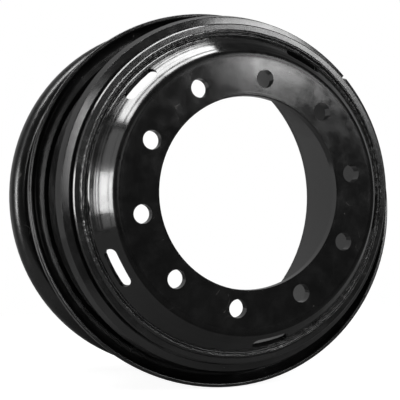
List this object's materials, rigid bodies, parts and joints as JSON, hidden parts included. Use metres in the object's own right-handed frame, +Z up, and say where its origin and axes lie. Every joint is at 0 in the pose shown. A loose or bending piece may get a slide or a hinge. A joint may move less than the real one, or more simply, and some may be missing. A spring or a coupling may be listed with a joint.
{
  "type": "truck wheel",
  "caption": "Tube-type steel truck disc wheel without a tyre: dished disc with stud holes and hand holes, rim base with a fixed flange, loose side ring and split lock ring.",
  "frame": {"origin": "centre of the stud circle on the disc's outer face", "axes": "+Y along the wheel's axis from the disc's outer face towards the rear flange, +Z up"},
  "size_m": [0.5901, 0.309, 0.589],
  "materials": {
    "disc_paint": "semi-gloss black paint over spun steel",
    "rim_paint": "semi-gloss black paint over rolled steel",
    "weld_paint": "black paint over a rough fillet weld",
    "side_ring_paint": "semi-gloss black paint",
    "lock_ring_paint": "semi-gloss black paint"
  },
  "bodies": {
    "root": {"disc": "disc_paint", "rim_base": "rim_paint", "disc_weld": "weld_paint", "side_ring": "side_ring_paint", "lock_ring": "lock_ring_paint"}
  },
  "joints": []
}
